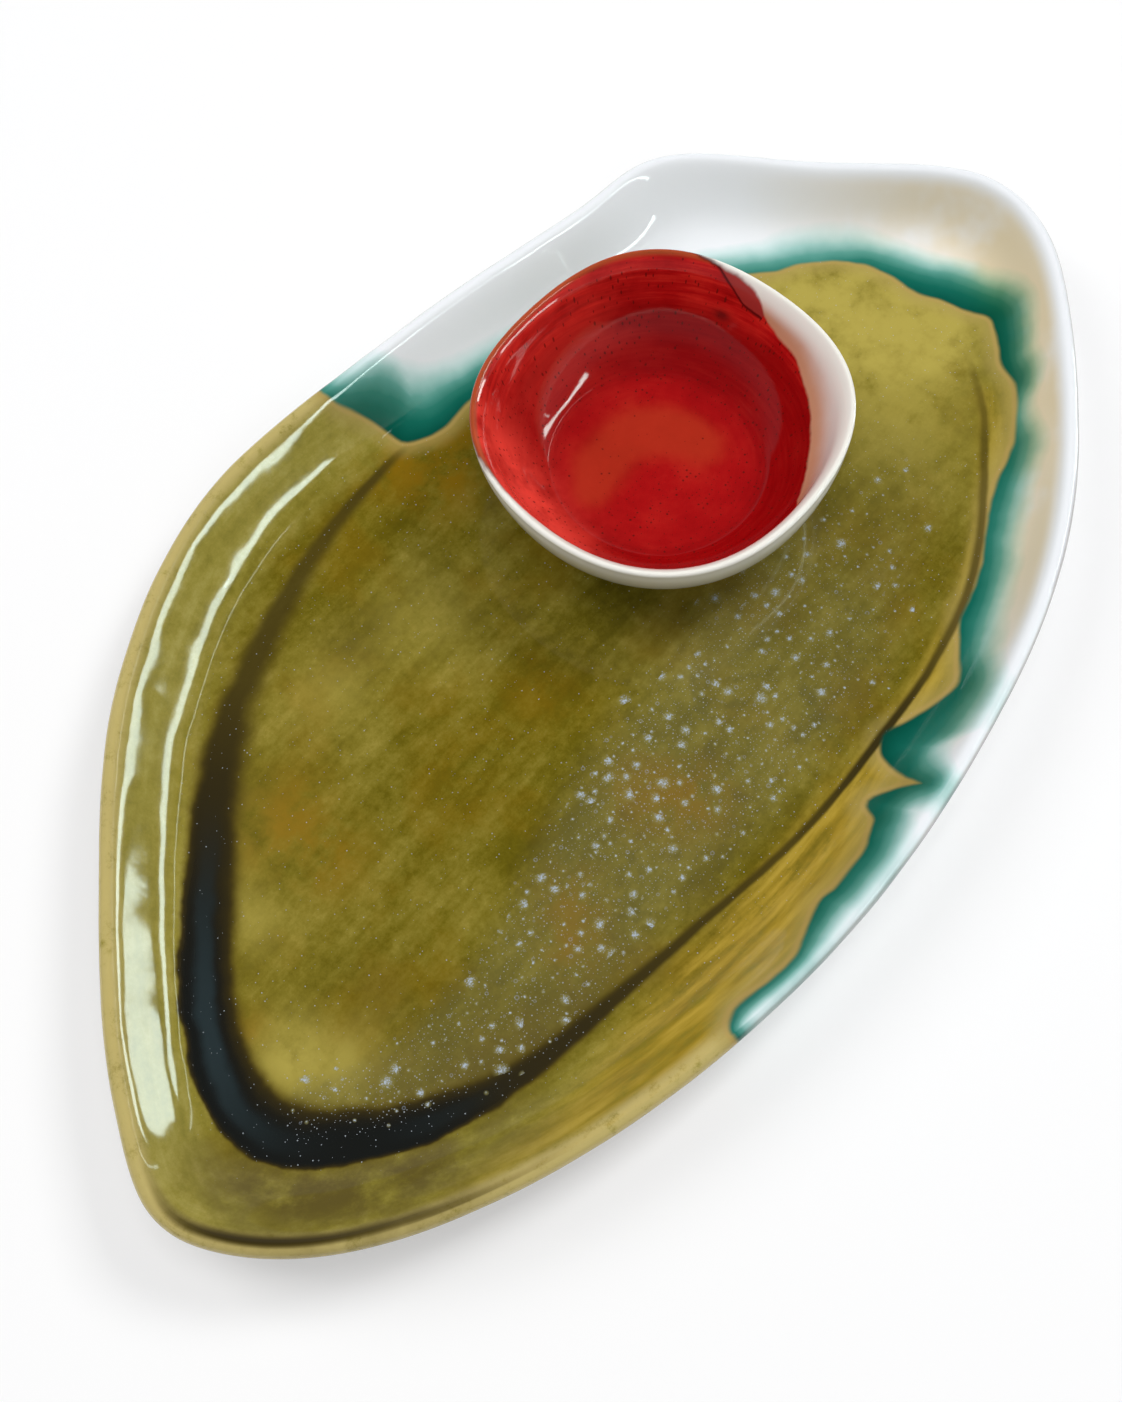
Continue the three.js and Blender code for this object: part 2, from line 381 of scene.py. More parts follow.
LINE_STEPS = 8
OLIVE_THICKNESS = 0.00015
OLIVE_SHOULDER = 0.0025
POOL_THICKNESS = 0.0004
RIM_WAVES = 0.0006
RIM_WAVE_SIZE = 0.040
FLOOR_WAVE_SHARE = 0.2
WAVES_FULL = 0.016
WAVES_GONE = 0.034
UNDERSIDE_START = 0.038
FAR_FROM_OLIVE = -0.05
POOL_FULL = 0.2
POOL_GONE = 1.2
BARE_BELOW = 0.0004
GLAZED_ABOVE = 0.0020
CREST_REACH = 0.0002
PLACE_DIGITS = 5

platter = rounded_copy("platter", "platter_body", PLATTER_FLOOR_ROWS)
corners = read_corners(platter, "co")
normals = read_corners(platter, "normal")

# The lip's crest as a line round the platter, carrying a turn round the rim without a seam
solid_corners = read_corners(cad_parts["platter"], "co")
crest = solid_corners[solid_corners[:, 2] > solid_corners[:, 2].max() - CREST_REACH, :2]
crest = np.unique(crest.round(PLACE_DIGITS), axis=0)
crest = crest[np.argsort(np.arctan2(crest[:, 1], crest[:, 0]))]
crest = np.vstack([crest, crest[:1]])
steps_round = np.hypot(*np.diff(crest, axis=0).T)
turn = np.concatenate([[0], np.cumsum(steps_round)]) / steps_round.sum() * 2 * math.pi
rim_radius = steps_round.sum() / (2 * math.pi)
crest = np.column_stack([crest, rim_radius * np.cos(turn), rim_radius * np.sin(turn)])
crest = line_through(crest, LINE_STEPS)


def olive_marks(places):
    """How far each place is inside the olive glaze, below zero outside it, and how wide and strong
    the turquoise is there."""
    line = line_through(OLIVE_END, LINE_STEPS)
    distance, bleed = nearest_on_line(places, line)
    inside = inside_outline(places, np.vstack([line[:, :2], BEYOND_THE_TIP]))
    return np.column_stack([np.where(inside, distance, -distance), bleed])


def along_band(places, band, start, end):
    """How strong a listed band is: full up to one share of its half width, gone at another."""
    distance, carried = nearest_on_line(places, line_through(band, LINE_STEPS))
    return carried[:, 1] * (1 - ease(distance / carried[:, 0], start, end))


# Outside the crest the glaze follows what it does at the crest, and the underside is white
outside = ~inside_outline(corners, crest[:, :2]) | (normals[:, 2] < 0)
from_lip, lip_carried = nearest_on_line(corners, np.column_stack([crest, olive_marks(crest)]))
olive_here = olive_marks(corners)
olive_here[outside] = lip_carried[outside, 2:]
olive_here[outside & (from_lip > UNDERSIDE_START), 0] = FAR_FROM_OLIVE
down_from_lip = np.where(outside, corners[:, 2] - corners[:, 2].max(), from_lip)

pool_line = line_through(POOL, LINE_STEPS)
pool_distance, pool_carried = nearest_on_line(corners, pool_line)
pool_side = np.where(inside_outline(corners, pool_line[:, :2]), 1, -1)
pool_across = pool_side * pool_distance / pool_carried[:, 0]
pool_depth = np.where(outside, 0, pool_carried[:, 1])
pool_sheen = np.where(outside, 0, pool_carried[:, 2])
catch = np.where(outside, 0, along_band(corners, LIP_CATCH, start=0.2, end=1.5))
crystals = along_band(corners, CRYSTALS, start=0.45, end=1.05)
buff = np.where(outside, 0, along_band(corners, BUFF, start=0.2, end=1.5))
ochre = np.where(outside, 0, along_band(corners, OCHRE, start=0.3, end=1.4))
above_foot = ease(corners[:, 2], BARE_BELOW, GLAZED_ABOVE)

# The glaze lies proud of the white beside it, and fills the gutter where it pools
glaze_build = OLIVE_THICKNESS * ease(olive_here[:, 0], 0, OLIVE_SHOULDER)
pool_share = 1 - ease(np.abs(pool_across), POOL_FULL, POOL_GONE)
glaze_build += POOL_THICKNESS * pool_depth * pool_share
glaze_build[outside] = 0
platter.data.vertices.foreach_set("co", (corners + normals * glaze_build[:, None]).ravel())

# The slab was pressed and smoothed by hand, so the rim is never quite even
hand_shaped = platter.vertex_groups.new(name="hand_shaped")
shaped_share = above_foot * np.where(from_lip < UNDERSIDE_START, 1, FLOOR_WAVE_SHARE)
off_rim = ease(from_lip, WAVES_FULL, WAVES_GONE)
shaped_share = np.minimum(shaped_share, 1 - (1 - FLOOR_WAVE_SHARE) * off_rim)
for index, share in enumerate(shaped_share):
    hand_shaped.add([index], float(share), "REPLACE")
wave_texture = bpy.data.textures.new("hand_waves", "CLOUDS")
wave_texture.noise_scale = RIM_WAVE_SIZE
waves = platter.modifiers.new("hand_waves", "DISPLACE")
waves.texture = wave_texture
waves.texture_coords = "LOCAL"
waves.vertex_group = hand_shaped.name
waves.strength = RIM_WAVES
bpy.ops.object.modifier_apply(modifier=waves.name)
platter.vertex_groups.clear()

write_marks(platter, "olive", *olive_here.T)
write_marks(platter, "pool", pool_across, pool_depth, catch)
write_marks(platter, "rim", lip_carried[:, 0], lip_carried[:, 1], down_from_lip)
spot_sets = (AMBER_SPOTS, PALE_AND_LIT_SPOTS, BROWN_SPOTS)
write_marks(platter, "spots", *(spots_at(corners, spots) for spots in spot_sets))
write_marks(platter, "bands", crystals, buff, ochre)
# The foot mark also carries the pool's painted sheen
write_marks(platter, "foot", above_foot, pool_sheen)


def add_node(tree, kind, sockets=None, **settings):
    """A node with its settings, and its sockets set to values or linked to other nodes' outputs."""
    node = tree.nodes.new(kind)
    for name, value in settings.items():
        setattr(node, name, value)
    for name, value in (sockets or {}).items():
        if isinstance(value, bpy.types.NodeSocket):
            tree.links.new(value, node.inputs[name])
        else:
            node.inputs[name].default_value = value
    return node


def calc(tree, operation, *values):
    """One sum on numbers or other nodes' outputs."""
    return add_node(tree, "ShaderNodeMath", dict(enumerate(values)), operation=operation).outputs[0]


def times(tree, one, other):
    return calc(tree, "MULTIPLY", one, other)


def gap_from(tree, value, level):
    """How far a value is from a level, either way."""
    return calc(tree, "ABSOLUTE", calc(tree, "SUBTRACT", value, level))


def fade(tree, value, start, end):
    """0 where value is before start, 1 where it is past end, and a smooth change between."""
    sockets = {"Value": value, "From Min": start, "From Max": end}
    return add_node(tree, "ShaderNodeMapRange", sockets, interpolation_type="SMOOTHSTEP").outputs[0]


def fade_out(tree, value, start, end):
    """1 where value is before start, and 0 where it is past end."""
    return calc(tree, "SUBTRACT", 1.0, fade(tree, value, start, end))


def lay_over(tree, share, under, over, blend="MIX"):
    """One glaze tone laid over another."""
    sockets = {"Factor": share, 6: under, 7: over}
    return add_node(tree, "ShaderNodeMix", sockets, data_type="RGBA", blend_type=blend).outputs[2]


def clouds(tree, place, size, detail=3.0, roughness=0.55):
    """Soft random patches of about the given size."""
    sockets = {"Vector": place, "Scale": 1 / size, "Detail": detail, "Roughness": roughness}
    return add_node(tree, "ShaderNodeTexNoise", sockets).outputs["Fac"]


def wandering(tree, place, size, reach, detail=3.0):
    """A soft random push of up to reach either way."""
    return calc(tree, "MULTIPLY_ADD", clouds(tree, place, size, detail), 2 * reach, -reach)


def stretch(tree, place, scale):
    """A place scaled along its three directions; a scale under 1 draws patches out."""
    return add_node(tree, "ShaderNodeMapping", {"Vector": place, "Scale": scale}).outputs[0]


def tones(tree, value, stops):
    """A glaze colour that follows a value through a few tones."""
    node = add_node(tree, "ShaderNodeValToRGB", {"Fac": value})
    elements = node.color_ramp.elements
    while len(elements) < len(stops):
        elements.new(1.0)
    for element, (position, colour) in zip(elements, stops):
        element.position = position
        element.color = (*colour, 1.0)
    return node.outputs["Color"]


def mark(tree, name):
    """The three values of a mark, as separate outputs, and the whole as a vector."""
    whole = add_node(tree, "ShaderNodeAttribute", attribute_name=name).outputs["Vector"]
    return (*add_node(tree, "ShaderNodeSeparateXYZ", {"Vector": whole}).outputs, whole)


MOSTLY_SMALL = 3.0
SPECK_EDGE = (0.7, 1.2)


def scattered(tree, place, cell, smallest, largest, density):
    """Round grains strewn one to a cell at most: how far out from a grain's middle a point is, as a
    share of the grain's radius, and 1 in the share of cells given by density."""
    sockets = {"Vector": place, "Scale": 1 / cell}
    cells = add_node(tree, "ShaderNodeTexVoronoi", sockets, voronoi_dimensions="2D")
    chance = add_node(tree, "ShaderNodeSeparateColor", {"Color": cells.outputs["Color"]}).outputs
    grown = calc(tree, "POWER", chance["Red"], MOSTLY_SMALL)
    radius = calc(tree, "MULTIPLY_ADD", grown, (largest - smallest) / cell, smallest / cell)
    outward = calc(tree, "DIVIDE", cells.outputs["Distance"], radius)
    return outward, calc(tree, "LESS_THAN", chance["Green"], density)


def specks(tree, place, cell, smallest, largest, density):
    """A mask of small round specks."""
    outward, present = scattered(tree, place, cell, smallest, largest, density)
    return times(tree, fade_out(tree, outward, *SPECK_EDGE), present)


WHITE = (0.82, 0.845, 0.87, 1)
BUFF_WHITE = (0.74, 0.63, 0.43, 1)
UNDER_LIP_SHADE_GREY = (0.36, 0.34, 0.32, 1)
TAN = (0.42, 0.29, 0.09, 1)
THIN_OLIVE = (0.38, 0.29, 0.085, 1)
AMBER = (0.215, 0.118, 0.003, 1)
PALE_AND_LIT_OLIVE = (0.41, 0.335, 0.068, 1)
BROWN_OLIVE = (0.110, 0.082, 0.018, 1)
LIP_OCHRE = (0.52, 0.42, 0.16, 1)
LIP_BROWN_AND_SHADE = (0.15, 0.10, 0.03, 1)
POOL_SHEEN_BLUE = (0.019, 0.030, 0.033, 1)
CRYSTAL_GREY = (0.160, 0.148, 0.052, 1)
CRYSTAL_DARK = (0.085, 0.078, 0.024, 1)
RUST = (0.225, 0.126, 0.014, 1)
CRYSTAL_GLOW = (0.27, 0.25, 0.085, 1)
CRYSTAL_BLUE = (0.40, 0.48, 0.60, 1)
DOT_WHITE = (0.40, 0.45, 0.49, 1)
BARE_CLAY = (0.56, 0.44, 0.30, 1)
OLIVE_TONES = [
    (0.36, (0.085, 0.066, 0.002)),
    (0.45, (0.120, 0.095, 0.004)),
    (0.51, (0.165, 0.132, 0.010)),
    (0.58, (0.225, 0.181, 0.024)),
    (0.67, (0.320, 0.257, 0.050)),
]
RIM_TONES = [
    (0.30, (0.192, 0.163, 0.016)),
    (0.50, (0.318, 0.271, 0.042)),
    (0.70, (0.460, 0.394, 0.105)),
]
OCHRE_TONES = [
    (0.32, (0.200, 0.132, 0.010)),
    (0.50, (0.345, 0.230, 0.022)),
    (0.68, (0.490, 0.335, 0.046)),
]
TEAL_TINT = [
    (0.00, (0.001, 0.060, 0.036)),
    (0.14, (0.001, 0.095, 0.062)),
    (0.34, (0.006, 0.142, 0.098)),
    (0.49, (0.030, 0.215, 0.158)),
    (0.63, (0.120, 0.375, 0.305)),
    (0.76, (0.400, 0.660, 0.600)),
    (0.89, (0.780, 0.920, 0.890)),
    (1.00, (1.000, 1.000, 1.000)),
]
# The tint starts this share of the bleed's width inside the olive and runs over this many widths,
# and each step in strength shifts it outwards by this share
TINT_START = 0.2
TINT_SPAN = 1.4
STRENGTH_SHIFT = 0.6
POOL_TONES = [
    (0.00, (0.130, 0.095, 0.010)),
    (0.25, (0.075, 0.052, 0.006)),
    (0.50, (0.030, 0.022, 0.006)),
    (0.80, (0.012, 0.011, 0.007)),
    (1.00, (0.008, 0.009, 0.008)),
]
# Half the soft edge where the olive ends, and bands of the olive measured inwards from there
OLIVE_EDGE = 0.0009
THIN_END = (0.001, 0.008)
TAN_LINE = 0.0008
TAN_BAND = (0.0002, 0.0014)
# Bands measured inwards from the lip's crest; below zero is down the outside
BUFF_START = (0.001, 0.005)
WHITE_EDGE_LINE = -0.0016
WHITE_EDGE_BAND = (0.0005, 0.0013)
RIM_BAND = (0.012, 0.028)
LIP_BAND = (0.001, 0.005)
UNDER_LIP = (-0.0038, -0.0020)
DOTS_START = (0.012, 0.024)
# Bands of the pool, in shares of its half width from its middle
POOL_INNER = (0.0, 1.4)
POOL_CORE_LINE = -0.15
POOL_CORE_BAND = (0.1, 0.5)
SKIN_DEPTH = 0.0003

platter_glaze = bpy.data.materials.new("platter_glaze")
platter_glaze.use_nodes = True
tree = platter_glaze.node_tree
glaze = tree.nodes["Principled BSDF"]
place = add_node(tree, "ShaderNodeTexCoord").outputs["Object"]
edge_mark, bleed_mark, strength_mark, _ = mark(tree, "olive")
across_mark, depth_mark, catch_mark, _ = mark(tree, "pool")
_, _, down_mark, rim_place = mark(tree, "rim")
amber_mark, pale_and_lit_mark, brown_mark, _ = mark(tree, "spots")
crystal_mark, buff_mark, ochre_mark, _ = mark(tree, "bands")
above_foot_mark, sheen_mark, _, _ = mark(tree, "foot")

# The olive glaze's end wanders a little
wander = wandering(tree, place, size=0.016, reach=0.0012, detail=2.0)
edge_here = calc(tree, "ADD", edge_mark, wander)
olive_share = fade(tree, edge_here, -OLIVE_EDGE, OLIVE_EDGE)

# White, warmed by the clay where it is thin, with a grey line of painted shade just under the lip
# where it turns away
buff_share = times(tree, buff_mark, fade(tree, clouds(tree, place, size=0.03), 0.10, 0.55))
buff_share = times(tree, buff_share, fade(tree, down_mark, *BUFF_START))
white = lay_over(tree, buff_share, WHITE, BUFF_WHITE)
# Painted shade: a grey line down the outside just under the white lip
edge_gap = gap_from(tree, down_mark, WHITE_EDGE_LINE)
under_lip_shade = times(tree, fade_out(tree, edge_gap, *WHITE_EDGE_BAND), 0.7)
white = lay_over(tree, under_lip_shade, white, UNDER_LIP_SHADE_GREY)

# Turquoise bleeds from the olive into the clear glass over the white, and thins out: a tint
bled = calc(tree, "DIVIDE", edge_here, bleed_mark)
weakness = calc(tree, "MULTIPLY_ADD", strength_mark, -STRENGTH_SHIFT, STRENGTH_SHIFT)
bled = calc(tree, "SUBTRACT", weakness, bled)
bled = calc(tree, "ADD", bled, wandering(tree, place, size=0.02, reach=0.12))
tint_place = calc(tree, "MULTIPLY_ADD", bled, 1 / TINT_SPAN, TINT_START / TINT_SPAN)
beyond_olive = lay_over(tree, 1.0, white, tones(tree, tint_place, TEAL_TINT), "MULTIPLY")

# Olive, mottled and brushed along the platter, with iron in places
along_platter = stretch(tree, place, (0.2, 1.0, 1.0))
cloudy = clouds(tree, place, size=0.045, detail=4.0)
brushed = clouds(tree, along_platter, size=0.010, detail=5.0, roughness=0.65)
mottled = clouds(tree, place, size=0.006, detail=5.0, roughness=0.8)
blotched = clouds(tree, place, size=0.013, detail=5.0, roughness=0.65)
olive_tone = times(tree, cloudy, 0.30)
olive_tone = calc(tree, "MULTIPLY_ADD", brushed, 0.35, olive_tone)
olive_tone = calc(tree, "MULTIPLY_ADD", mottled, 0.35, olive_tone)
olive = tones(tree, olive_tone, OLIVE_TONES)
iron = clouds(tree, place, size=0.03, detail=4.0)
iron_share = times(tree, fade(tree, iron, 0.48, 0.72), 0.35)
amber_share = times(tree, amber_mark, fade(tree, blotched, 0.30, 0.62))
olive = lay_over(tree, calc(tree, "MAXIMUM", iron_share, amber_share), olive, AMBER)
# Pale olive: thin glaze, and at the end beyond the bowl also painted light
pale_and_lit_share = times(tree, pale_and_lit_mark, fade(tree, blotched, 0.10, 0.60))
olive = lay_over(tree, pale_and_lit_share, olive, PALE_AND_LIT_OLIVE)

# On the rim the olive is thinner and streaked along the lip, and it is thinnest at its end
along_lip = stretch(tree, rim_place, (0.12, 0.12, 1.0))
streaks = clouds(tree, along_lip, size=0.004, detail=4.0)
rim_tone = calc(tree, "ADD", times(tree, streaks, 0.5), times(tree, mottled, 0.5))
rim_share = times(tree, fade_out(tree, down_mark, *RIM_BAND), 0.9)
olive = lay_over(tree, rim_share, olive, tones(tree, rim_tone, RIM_TONES))
ochre_share = times(tree, ochre_mark, fade(tree, rim_tone, 0.25, 0.55))
olive = lay_over(tree, ochre_share, olive, tones(tree, streaks, OCHRE_TONES))
lip_share = times(tree, fade_out(tree, down_mark, *LIP_BAND), fade(tree, mottled, 0.2, 0.5))
olive = lay_over(tree, times(tree, lip_share, 0.85), olive, LIP_OCHRE)
# Dark brown down the outside under the lip: partly the olive breaking thin over the edge, partly
# painted shade of the underside
under_lip_brown_and_shade = times(tree, fade_out(tree, down_mark, *UNDER_LIP), 0.85)
olive = lay_over(tree, under_lip_brown_and_shade, olive, LIP_BROWN_AND_SHADE)
thin_share = times(tree, fade_out(tree, edge_here, *THIN_END), 0.6)
olive = lay_over(tree, thin_share, olive, THIN_OLIVE)
tan_gap = gap_from(tree, edge_here, TAN_LINE)
tan_share = times(tree, fade_out(tree, tan_gap, *TAN_BAND), 0.6)
olive = lay_over(tree, tan_share, olive, TAN)

# Where crystals stand the olive is greyer, with rust in it, and it is brown where it lies thick
olive = lay_over(tree, times(tree, crystal_mark, 0.45), olive, CRYSTAL_GREY)
dark_share = times(tree, fade(tree, blotched, 0.52, 0.68), crystal_mark)
olive = lay_over(tree, times(tree, dark_share, 0.5), olive, CRYSTAL_DARK)
rust_share = times(tree, amber_share, crystal_mark)
olive = lay_over(tree, times(tree, rust_share, 0.5), olive, RUST)
brown_share = times(tree, brown_mark, fade(tree, blotched, 0.15, 0.65))
olive = lay_over(tree, brown_share, olive, BROWN_OLIVE)

# The pool: the deeper it is, the sharper against the rim; soft towards the middle, with a painted
# bluish sheen along its heart where it is deepest
pool_wander = wandering(tree, place, size=0.014, reach=0.25)
across_here = calc(tree, "ADD", across_mark, pool_wander)
outer_start = calc(tree, "MULTIPLY_ADD", depth_mark, 0.35, -1.4)
outer_end = calc(tree, "MULTIPLY_ADD", depth_mark, -0.5, -0.2)
pool_outer = fade(tree, across_here, outer_start, outer_end)
pool_inner = fade_out(tree, across_here, *POOL_INNER)
pool_here = times(tree, times(tree, pool_outer, pool_inner), depth_mark)
pool_here = calc(tree, "MAXIMUM", pool_here, times(tree, catch_mark, 0.45))
olive = lay_over(tree, fade(tree, pool_here, 0.0, 0.45), olive, tones(tree, pool_here, POOL_TONES))
core_gap = gap_from(tree, across_here, POOL_CORE_LINE)
sheen_share = times(tree, fade_out(tree, core_gap, *POOL_CORE_BAND), sheen_mark)
olive = lay_over(tree, sheen_share, olive, POOL_SHEEN_BLUE)

# Crystals that grew as the glaze cooled: ragged pale clusters that clear the glaze round them,
# faint rings, and fine dots
cluster_chance = times(tree, crystal_mark, 0.75)
cluster_out, cluster_here = scattered(
    tree, place, cell=0.0047, smallest=0.0003, largest=0.0013, density=cluster_chance
)
grain = clouds(tree, place, size=0.0006, detail=2.0, roughness=0.7)
cluster_ragged = calc(tree, "ADD", cluster_out, calc(tree, "MULTIPLY_ADD", grain, 5.0, -2.4))
veil = times(tree, fade_out(tree, cluster_ragged, 0.5, 1.5), cluster_here)
clusters = times(tree, fade_out(tree, cluster_ragged, 0.2, 0.6), cluster_here)
glow = times(tree, fade_out(tree, cluster_out, 0.6, 2.6), cluster_here)
ring_chance = times(tree, crystal_mark, 0.3)
ring_out, ring_here = scattered(
    tree, place, cell=0.0040, smallest=0.0003, largest=0.0006, density=ring_chance
)
ring_gap = gap_from(tree, ring_out, 1.0)
rings = times(tree, fade_out(tree, ring_gap, 0.1, 0.5), ring_here)
dot_chance = calc(tree, "MULTIPLY_ADD", crystal_mark, 0.7, 0.08)
dots = specks(tree, place, cell=0.0012, smallest=0.00008, largest=0.00022, density=dot_chance)
dots = times(tree, dots, fade(tree, down_mark, *DOTS_START))
olive = lay_over(tree, times(tree, glow, 0.45), olive, CRYSTAL_GLOW)
olive = lay_over(tree, times(tree, rings, 0.22), olive, CRYSTAL_BLUE)
olive = lay_over(tree, times(tree, veil, 0.4), olive, CRYSTAL_BLUE)
olive = lay_over(tree, times(tree, clusters, 0.8), olive, CRYSTAL_BLUE)
olive = lay_over(tree, times(tree, dots, 0.7), olive, DOT_WHITE)

glazed = lay_over(tree, olive_share, beyond_olive, olive)
colour = lay_over(tree, above_foot_mark, BARE_CLAY, glazed)
tree.links.new(colour, glaze.inputs["Base Color"])
gloss = calc(tree, "MULTIPLY_ADD", clouds(tree, place, size=0.01), 0.05, 0.04)
gloss = calc(tree, "MULTIPLY_ADD", clusters, 0.15, gloss)
bare = calc(tree, "SUBTRACT", 1.0, above_foot_mark)
gloss = calc(tree, "MULTIPLY_ADD", bare, 0.6, gloss)
tree.links.new(gloss, glaze.inputs["Roughness"])
unevenness = calc(tree, "MULTIPLY_ADD", rim_share, 0.2, 0.6)
skin_height = times(tree, clouds(tree, place, size=0.008, detail=2.0), unevenness)
skin_height = calc(tree, "MULTIPLY_ADD", clusters, 0.15, skin_height)
skin_sockets = {"Height": skin_height, "Strength": 0.1, "Distance": SKIN_DEPTH}
skin = add_node(tree, "ShaderNodeBump", skin_sockets)
tree.links.new(skin.outputs["Normal"], glaze.inputs["Normal"])
platter.data.materials.append(platter_glaze)

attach(platter, "platter")
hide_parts("platter")


# Dip bowl: thrown on a wheel from the same white stoneware, its rim pushed a little out of round.
# It is white outside, with a brushed red glaze inside that stops short of one side.
# It stands loose on the platter on its own low foot ring.

BOWL_FLOOR_ROWS = 16
# Where the red ends, round the bowl: the angle in degrees, and how far below the lip's crest on the
# inside; below zero is over the crest, on the outside
RED_END = [
    (0, 0.0068),
    (2, 0.0045),
    (5, 0.0025),
    (8, 0.0012),
    (14, 0.0008),
    (19, 0.0004),
    (24, -0.0005),
    (34, -0.0014),
    (90, -0.0016),
    (140, -0.0014),
    (152, -0.0006),
    (162, 0.0006),
    (172, 0.0020),
    (190, 0.0030),
    (220, 0.0034),
    (244, 0.0036),
    (264, 0.0042),
    (272, 0.0090),
    (281, 0.0169),
    (292, 0.0192),
    (303, 0.0203),
    (314, 0.0194),
    (323, 0.0176),
    (333, 0.0154),
    (342, 0.0120),
    (351, 0.0110),
    (356, 0.0095),
    (360, 0.0068),
]
# Where the red is at its full strength beside the place that it was dipped twice
FULL_RED_END = [
    (0, 0.0085),
    (3, 0.0085),
    (8, 0.0081),
    (12, 0.0054),
    (17, 0.0022),
    (21, 0.0002),
    (24, -0.0005),
    (34, -0.0014),
]
ALL_RED = 0.02

# Where the red is thin and orange, one dark blot on the wall, and painted light, which lightens the
# red where the wall's side and top are lit: along and across from the bowl's middle, size, strength
THIN_RED = [
    (-0.024, 0.009, 0.007, 0.7),
    (-0.015, 0.013, 0.009, 0.9),
    (-0.004, 0.015, 0.010, 0.9),
    (0.008, 0.010, 0.010, 0.9),
    (0.015, 0.001, 0.009, 0.9),
    (0.015, -0.009, 0.008, 0.7),
]
BLOT = [(0.0493, 0.0132, 0.0030, 1.0)]
PAINTED_LIGHT_SIDE = [
    (-0.040, 0.040, 0.012, 0.60),
    (-0.046, 0.026, 0.016, 1.0),
    (-0.052, 0.009, 0.014, 0.85),
    (-0.050, -0.008, 0.012, 0.5),
    (-0.014, 0.050, 0.013, 0.2),
    (0.006, 0.053, 0.013, 0.2),
    (0.025, 0.047, 0.013, 0.2),
]
BLOT_HEIGHT = 0.0337
BLOT_REACH = 0.003
ANGLE_STEP = 5
ANGLE_REACH = 4
FLAT_RADIUS = 0.045
SMALLEST_RADIUS = 0.001
THROWING_RADIUS = 0.045
BOWL_BARE_BELOW = 0.0003
BOWL_GLAZED_ABOVE = 0.0012

bowl = rounded_copy("dip_bowl", "dip_bowl_body", BOWL_FLOOR_ROWS)
bowl_low, bowl_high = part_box("dip_bowl")
bowl_middle = np.array([(bowl_low.x + bowl_high.x) / 2, (bowl_low.y + bowl_high.y) / 2])
corners = read_corners(bowl, "co")
normals = read_corners(bowl, "normal")
from_middle = corners[:, :2] - bowl_middle
radius = np.hypot(from_middle[:, 0], from_middle[:, 1])
angle = np.degrees(np.arctan2(from_middle[:, 1], from_middle[:, 0])) % 360
angles_round = np.arange(0, 360, ANGLE_STEP)
crest_height = [corners[np.abs(angle - here) < ANGLE_REACH, 2].max() for here in angles_round]
crest_here = np.interp(angle, angles_round, crest_height, period=360)
inward = -(normals[:, :2] * from_middle).sum(axis=1) / np.maximum(radius, SMALLEST_RADIUS)
inner_side = (normals[:, 2] > 0) & ((inward > 0) | (radius < FLAT_RADIUS))
down = np.where(inner_side, crest_here - corners[:, 2], corners[:, 2] - crest_here)
red_edge = down - np.interp(angle, *np.array(RED_END).T)
full_edge = down - np.interp(angle, *np.array(FULL_RED_END).T)
full_edge[angle > FULL_RED_END[-1][0]] = ALL_RED
up_the_wall = np.where(inner_side, radius + corners[:, 2] - bowl_low.z, -corners[:, 2])
above_foot = ease(corners[:, 2] - bowl_low.z, BOWL_BARE_BELOW, BOWL_GLAZED_ABOVE)
thin_red = np.where(inner_side, spots_at(from_middle, THIN_RED), 0)
# Painted light where the wall is lit, kept in the blot mark beside the dark blot
painted_light_red = np.where(inner_side, spots_at(from_middle, PAINTED_LIGHT_SIDE), 0)
blot = spots_at(from_middle, BLOT) * (1 - ease(np.abs(corners[:, 2] - BLOT_HEIGHT), 0, BLOT_REACH))
round_along = THROWING_RADIUS * np.cos(np.radians(angle))
round_across = THROWING_RADIUS * np.sin(np.radians(angle))
write_marks(bowl, "red", red_edge, full_edge, above_foot)
write_marks(bowl, "throwing", round_along, round_across, up_the_wall)
write_marks(bowl, "wall", down, radius, thin_red)
write_marks(bowl, "blot", blot, painted_light_red)

CREAM = (0.85, 0.83, 0.76, 1)
BLUSH_AND_PAINTED_SHADE = (0.62, 0.34, 0.20, 1)
BOWL_LIP_BROWN = (0.33, 0.085, 0.025, 1)
PINK = (0.37, 0.035, 0.030, 1)
DEEP_RED = (0.225, 0.001, 0.002, 1)
PAINTED_LIGHT_RED = (0.95, 0.072, 0.050, 1)
DARK_RED = (0.10, 0.003, 0.004, 1)
ORANGE_RED = (0.41, 0.040, 0.012, 1)
SPECK_BROWN = (0.06, 0.006, 0.004, 1)
# The edge of the bowl's floor, as a distance from its middle
FLOOR_EDGE = (0.030, 0.037)
# Bands of the red measured down from the lip's crest
DEEP_START = (0.011, 0.020)
LIP_BROWN_BAND = (0.0002, 0.0014)
END_NEAR_LIP = (0.0, 0.003)
BLUSH_AND_SHADE_BELOW_LIP = (0.002, 0.008)
# Bands measured inwards from where the red ends, and from where it is at its full strength
RED_EDGE = (-0.0006, 0.0010)
END_LINE = 0.0003
END_BAND = (0.0001, 0.0008)
BLUSH_AND_SHADE_REACH = (-0.013, -0.001)
FULL_EDGE = (-0.0004, 0.0004)
DRIP_LINE = 0.0004
DRIP_BAND = (0.0001, 0.0011)
RED_TONES = [
    (0.30, (0.300, 0.002, 0.003)),
    (0.50, (0.500, 0.008, 0.008)),
    (0.70, (0.700, 0.028, 0.018)),
]

